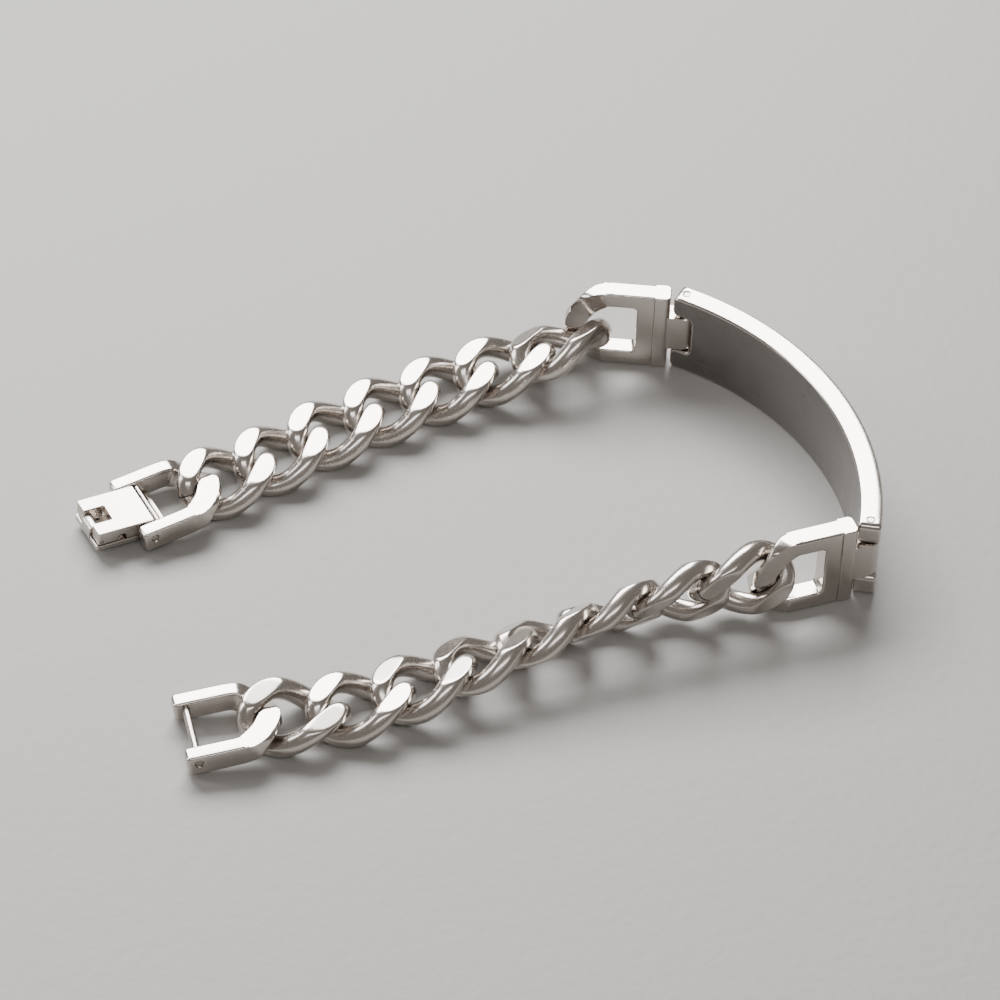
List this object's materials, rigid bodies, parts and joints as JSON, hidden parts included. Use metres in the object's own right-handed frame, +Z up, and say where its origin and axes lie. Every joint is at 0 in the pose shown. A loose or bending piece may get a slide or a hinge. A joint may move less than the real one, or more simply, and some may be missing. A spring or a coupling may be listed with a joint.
{
  "type": "id bracelet",
  "caption": "Curved identity plate hinged between two strands of curb links, with a hinged snap clasp on one end and a catch bar on the other, lying open.",
  "frame": {"origin": "middle of the room that the open bracelet takes up, on the surface it lies on", "axes": "+X to the plate, away from the two free ends; +Y across to the strand with the clasp; +Z up"},
  "size_m": [0.0934, 0.0744, 0.011],
  "materials": {
    "plate_steel": "polished outside, fine satin inside",
    "polished_steel": "mirror polished",
    "link_steel": "polished, facets filed flat",
    "leaf_steel": "fine brushed",
    "pin_steel": "drawn wire"
  },
  "bodies": {
    "plate": {"plate": "plate_steel", "clasp_side_plate_pin": "pin_steel", "catch_side_plate_pin": "pin_steel"},
    "clasp_side_strand": {"clasp_side_connector": "polished_steel", "clasp_side_link_1": "link_steel", "clasp_side_link_2": "link_steel", "clasp_side_link_3": "link_steel", "clasp_side_link_4": "link_steel", "clasp_side_link_5": "link_steel", "clasp_side_link_6": "link_steel", "clasp_side_link_7": "link_steel", "clasp_end_link": "polished_steel", "clasp_pin": "pin_steel"},
    "catch_side_strand": {"catch_side_connector": "polished_steel", "catch_side_link_1": "link_steel", "catch_side_link_2": "link_steel", "catch_side_link_3": "link_steel", "catch_side_link_4": "link_steel", "catch_side_link_5": "link_steel", "catch_side_link_6": "link_steel", "catch_side_link_7": "link_steel", "catch_side_link_8": "link_steel", "catch_end_link": "polished_steel", "catch_pin": "pin_steel"},
    "clasp_block": {"clasp_block": "polished_steel", "leaf_pin": "pin_steel"},
    "clasp_leaf": {"clasp_leaf": "leaf_steel"}
  },
  "joints": [
    {"name": "clasp_side_hinge", "type": "hinge", "parent": "plate", "child": "clasp_side_strand", "pos_m": [0.02404, 0.03517, 0.0055], "axis": [0, 0, 1], "range_deg": [-110, 10]},
    {"name": "catch_side_hinge", "type": "hinge", "parent": "plate", "child": "catch_side_strand", "pos_m": [0.04524, -0.0023, 0.0055], "axis": [0, 0, 1], "range_deg": [-8, 150]},
    {"name": "clasp_hinge", "type": "hinge", "parent": "clasp_side_strand", "child": "clasp_block", "pos_m": [-0.03948, 0.00307, 0.0021], "axis": [-0.4848, 0.8746, 0], "range_deg": [-90, 110]},
    {"name": "leaf_hinge", "type": "hinge", "parent": "clasp_block", "child": "clasp_leaf", "pos_m": [-0.04462, 0.00022, 0.00214], "axis": [-0.4848, 0.8746, 0], "range_deg": [0, 90]}
  ]
}
